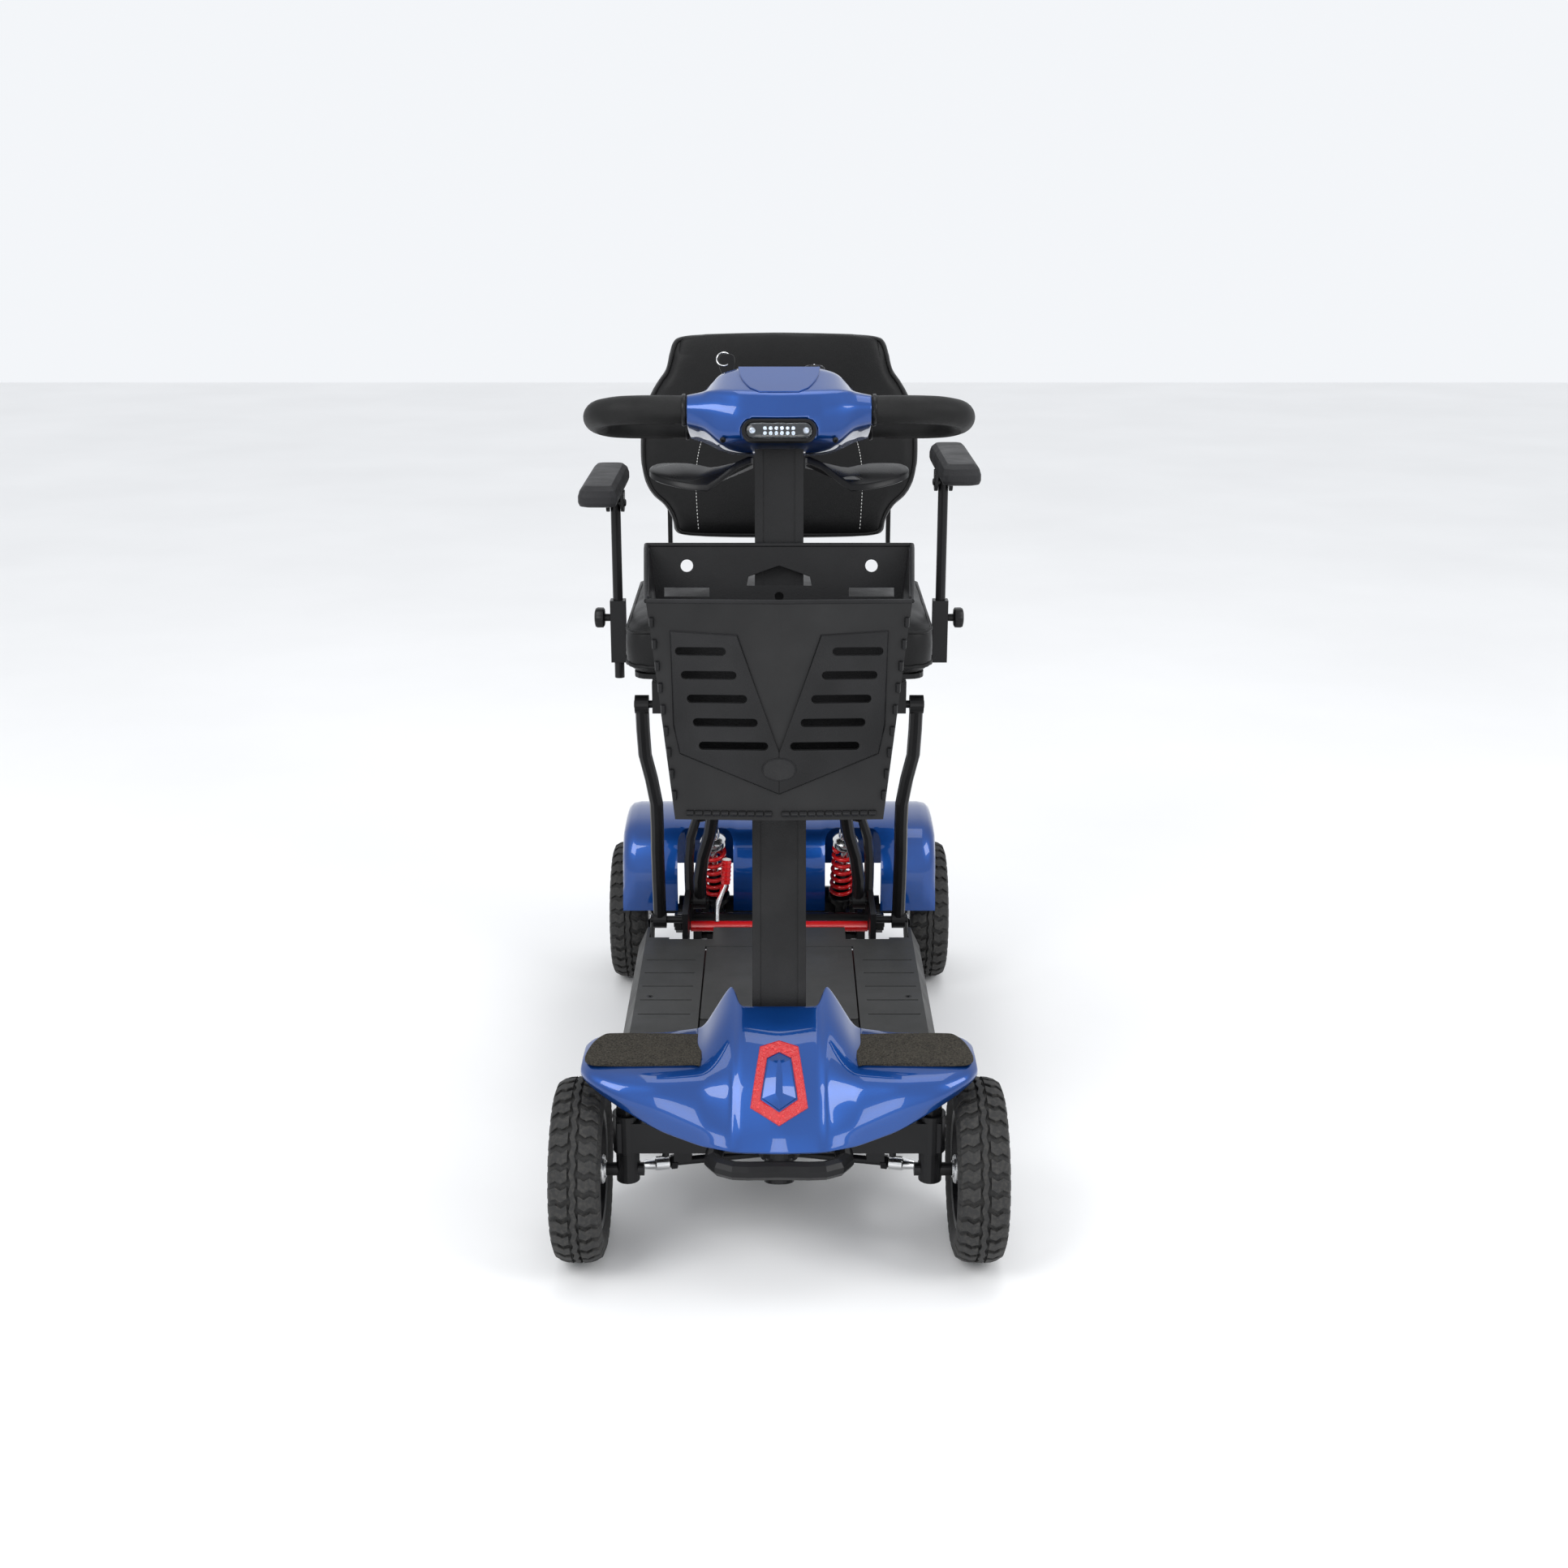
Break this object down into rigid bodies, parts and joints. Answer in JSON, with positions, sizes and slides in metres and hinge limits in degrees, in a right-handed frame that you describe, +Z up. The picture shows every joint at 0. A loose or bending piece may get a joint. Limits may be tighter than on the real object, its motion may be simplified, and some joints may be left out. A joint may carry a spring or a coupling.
{
  "type": "folding mobility scooter",
  "caption": "Compact folding four-wheel mobility scooter with a tiller, delta handlebar, front basket, padded seat with armrests, floorboard with battery well and sprung rear axle.",
  "frame": {"origin": "centre of the bounding box on the floor, under the middle of the wheelbase", "axes": "+Z up, -Y the way the scooter drives, +X to the driver's left"},
  "size_m": [0.5, 1.006, 0.9634],
  "materials": {
    "blue_paint": "metallic gloss lacquer",
    "black_frame": "satin powder coat",
    "black_plastic": "fine grained",
    "deck_plastic": "fine grained",
    "vinyl": "soft grained synthetic leather",
    "tyre_rubber": "block tread",
    "grip_rubber": "foam grained",
    "grit": "anti-slip grit",
    "red_paint": "gloss",
    "red_reflector": "prismatic",
    "steel": "bright zinc",
    "lens": "clear"
  },
  "bodies": {
    "front_chassis": {"deck_frame": "black_frame", "footboard": "deck_plastic", "battery_pack": "black_plastic", "front_axle_beam": "black_frame", "front_bumper": "black_frame", "front_cowl": "blue_paint", "front_reflector": "red_reflector", "grip_pad_left": "grit", "grip_pad_right": "grit"},
    "battery_lid": {"battery_lid": "deck_plastic"},
    "lid_latch": {"lid_latch": "black_plastic"},
    "steering_column": {"steering_column": "black_frame"},
    "lower_tiller": {"mast_lower": "black_frame", "height_clamp": "black_plastic"},
    "upper_tiller": {"mast_upper": "black_frame", "tiller_head": "blue_paint", "headlight": "lens", "handlebar_left": "grip_rubber", "handlebar_right": "grip_rubber"},
    "throttle_lever": {"throttle_lever": "black_plastic"},
    "ignition_key": {"ignition_key": "black_plastic"},
    "speed_dial": {"speed_dial": "black_plastic"},
    "basket": {"basket_back": "black_plastic", "basket_front": "black_plastic", "basket_left": "black_plastic", "basket_right": "black_plastic", "basket_floor": "black_plastic"},
    "rear_chassis": {"rear_frame": "black_frame", "rear_shroud": "blue_paint", "shock_left": "red_paint", "shock_right": "red_paint"},
    "swing_axle": {"transaxle": "black_frame"},
    "fold_release": {"fold_release_bar": "red_paint"},
    "front_legs": {"front_leg_left": "black_frame", "front_leg_right": "black_frame"},
    "rear_legs": {"rear_leg_left": "black_frame", "rear_leg_right": "black_frame"},
    "seat_base": {"seat_frame": "black_frame"},
    "seat": {"seat_pan": "black_frame", "seat_cushion": "vinyl"},
    "backrest": {"backrest_frame": "black_frame", "backrest_cushion": "vinyl"},
    "knuckle_left": {"knuckle_left": "black_frame"},
    "tie_rod_left": {"tie_rod_left": "steel"},
    "wheel_front_left": {"tyre_front_left": "tyre_rubber", "rim_front_left": "black_plastic"},
    "wheel_rear_left": {"tyre_rear_left": "tyre_rubber", "rim_rear_left": "black_plastic"},
    "armrest_post_left": {"armrest_post_left": "black_frame"},
    "armrest_left": {"armrest_pad_left": "black_plastic"},
    "armrest_knob_left": {"armrest_knob_left": "black_plastic"},
    "knuckle_right": {"knuckle_right": "black_frame"},
    "tie_rod_right": {"tie_rod_right": "steel"},
    "wheel_front_right": {"tyre_front_right": "tyre_rubber", "rim_front_right": "black_plastic"},
    "wheel_rear_right": {"tyre_rear_right": "tyre_rubber", "rim_rear_right": "black_plastic"},
    "armrest_post_right": {"armrest_post_right": "black_frame"},
    "armrest_right": {"armrest_pad_right": "black_plastic"},
    "armrest_knob_right": {"armrest_knob_right": "black_plastic"}
  },
  "joints": [
    {"name": "chassis_fold", "type": "hinge", "parent": "front_chassis", "child": "rear_chassis", "pos_m": [0, 0.215, 0.152], "axis": [1, 0, 0], "range_deg": [-80, 0]},
    {"name": "front_leg_fold", "type": "hinge", "parent": "front_chassis", "child": "front_legs", "pos_m": [0, 0.178, 0.172], "axis": [1, 0, 0], "range_deg": [0, 70]},
    {"name": "rear_leg_fold", "type": "hinge", "parent": "front_chassis", "child": "rear_legs", "pos_m": [0, 0.25, 0.172], "axis": [1, 0, 0], "range_deg": [0, 70]},
    {"name": "seat_level", "type": "hinge", "parent": "front_legs", "child": "seat_base", "pos_m": [0, 0.1, 0.502], "axis": [1, 0, 0], "range_deg": [-70, 0]},
    {"name": "fold_release_turn", "type": "hinge", "parent": "front_chassis", "child": "fold_release", "pos_m": [0, 0.228, 0.142], "axis": [1, 0, 0], "range_deg": [0, 12], "stiffness_Nm_per_rad": 2, "springref_deg": -5.73},
    {"name": "rear_suspension", "type": "hinge", "parent": "rear_chassis", "child": "swing_axle", "pos_m": [0, 0.29, 0.104], "axis": [1, 0, 0], "range_deg": [0, 4], "stiffness_Nm_per_rad": 400, "springref_deg": -11.46, "deforming": ["shock_left", "shock_right"]},
    {"name": "tiller_steer", "type": "hinge", "parent": "front_chassis", "child": "steering_column", "pos_m": [0, -0.33, 0.205], "axis": [0, 0.2588, 0.9659], "range_deg": [-25, 25]},
    {"name": "tiller_tilt", "type": "hinge", "parent": "steering_column", "child": "lower_tiller", "pos_m": [0, -0.33, 0.205], "axis": [1, 0, 0], "range_deg": [-10, 3]},
    {"name": "tiller_height", "type": "slide", "parent": "lower_tiller", "child": "upper_tiller", "axis": [0, -0.2588, -0.9659], "range_m": [-0.06, 0.07]},
    {"name": "throttle_swing", "type": "hinge", "parent": "upper_tiller", "child": "throttle_lever", "pos_m": [0, -0.11157, 0.84632], "axis": [0, 0.2588, 0.9659], "range_deg": [-12, 12], "stiffness_Nm_per_rad": 0.5},
    {"name": "ignition_turn", "type": "hinge", "parent": "upper_tiller", "child": "ignition_key", "pos_m": [-0.06, -0.07339, 0.93858], "axis": [0, 0.2588, 0.9659], "range_deg": [0, 60]},
    {"name": "speed_turn", "type": "hinge", "parent": "upper_tiller", "child": "speed_dial", "pos_m": [0.04, -0.07339, 0.93858], "axis": [0, 0.2588, 0.9659], "range_deg": [-135, 135]},
    {"name": "basket_lift", "type": "slide", "parent": "lower_tiller", "child": "basket", "axis": [0, 0.2588, 0.9659], "range_m": [0, 0.03]},
    {"name": "battery_lid_open", "type": "hinge", "parent": "front_chassis", "child": "battery_lid", "pos_m": [0, 0.132, 0.15], "axis": [-1, 0, 0], "range_deg": [0, 70]},
    {"name": "lid_latch_lift", "type": "hinge", "parent": "front_chassis", "child": "lid_latch", "pos_m": [0, -0.134, 0.146], "axis": [1, 0, 0], "range_deg": [0, 30]},
    {"name": "seat_swivel", "type": "hinge", "parent": "seat_base", "child": "seat", "pos_m": [0, 0.232, 0.538], "axis": [0, 0, 1], "range_deg": [0, 90]},
    {"name": "backrest_fold", "type": "hinge", "parent": "seat", "child": "backrest", "pos_m": [0, 0.412, 0.704], "axis": [1, 0, 0], "range_deg": [0, 80]},
    {"name": "knuckle_turn_left", "type": "hinge", "parent": "front_chassis", "child": "knuckle_left", "pos_m": [0.168, -0.401, 0.12], "axis": [0, 0, 1], "range_deg": [-26, 26]},
    {"name": "tie_rod_shift_left", "type": "slide", "parent": "front_chassis", "child": "tie_rod_left", "axis": [-1, 0, 0], "range_m": [-0.021, 0.021]},
    {"name": "front_wheel_spin_left", "type": "hinge", "parent": "knuckle_left", "child": "wheel_front_left", "pos_m": [0.22, -0.401, 0.102], "axis": [1, 0, 0], "continuous": true},
    {"name": "rear_wheel_spin_left", "type": "hinge", "parent": "swing_axle", "child": "wheel_rear_left", "pos_m": [0.22, 0.401, 0.102], "axis": [1, 0, 0], "continuous": true},
    {"name": "armrest_height_left", "type": "slide", "parent": "seat", "child": "armrest_post_left", "axis": [0, 0, 1], "range_m": [-0.03, 0.05]},
    {"name": "armrest_flip_left", "type": "hinge", "parent": "armrest_post_left", "child": "armrest_left", "pos_m": [0.212, 0.175, 0.779], "axis": [-1, 0, 0], "range_deg": [0, 90]},
    {"name": "armrest_knob_turn_left", "type": "hinge", "parent": "seat", "child": "armrest_knob_left", "pos_m": [0.233, 0.175, 0.6], "axis": [1, 0, 0], "range_deg": [0, 180]},
    {"name": "knuckle_turn_right", "type": "hinge", "parent": "front_chassis", "child": "knuckle_right", "pos_m": [-0.168, -0.401, 0.12], "axis": [0, 0, 1], "range_deg": [-26, 26]},
    {"name": "tie_rod_shift_right", "type": "slide", "parent": "front_chassis", "child": "tie_rod_right", "axis": [-1, 0, 0], "range_m": [-0.021, 0.021]},
    {"name": "front_wheel_spin_right", "type": "hinge", "parent": "knuckle_right", "child": "wheel_front_right", "pos_m": [-0.22, -0.401, 0.102], "axis": [1, 0, 0], "continuous": true},
    {"name": "rear_wheel_spin_right", "type": "hinge", "parent": "swing_axle", "child": "wheel_rear_right", "pos_m": [-0.22, 0.401, 0.102], "axis": [1, 0, 0], "continuous": true},
    {"name": "armrest_height_right", "type": "slide", "parent": "seat", "child": "armrest_post_right", "axis": [0, 0, 1], "range_m": [-0.03, 0.05]},
    {"name": "armrest_flip_right", "type": "hinge", "parent": "armrest_post_right", "child": "armrest_right", "pos_m": [-0.212, 0.175, 0.752], "axis": [-1, 0, 0], "range_deg": [0, 90]},
    {"name": "armrest_knob_turn_right", "type": "hinge", "parent": "seat", "child": "armrest_knob_right", "pos_m": [-0.233, 0.175, 0.6], "axis": [1, 0, 0], "range_deg": [0, 180]}
  ],
  "couplings": [
    {"joint": "front_leg_fold", "follows": "chassis_fold", "ratio": -0.875},
    {"joint": "rear_leg_fold", "follows": "chassis_fold", "ratio": -0.875},
    {"joint": "seat_level", "follows": "chassis_fold", "ratio": 0.875},
    {"joint": "knuckle_turn_left", "follows": "tiller_steer", "ratio": 1},
    {"joint": "tie_rod_shift_left", "follows": "tiller_steer", "m_per_rad": 0.044},
    {"joint": "knuckle_turn_right", "follows": "tiller_steer", "ratio": 1},
    {"joint": "tie_rod_shift_right", "follows": "tiller_steer", "m_per_rad": 0.044}
  ]
}
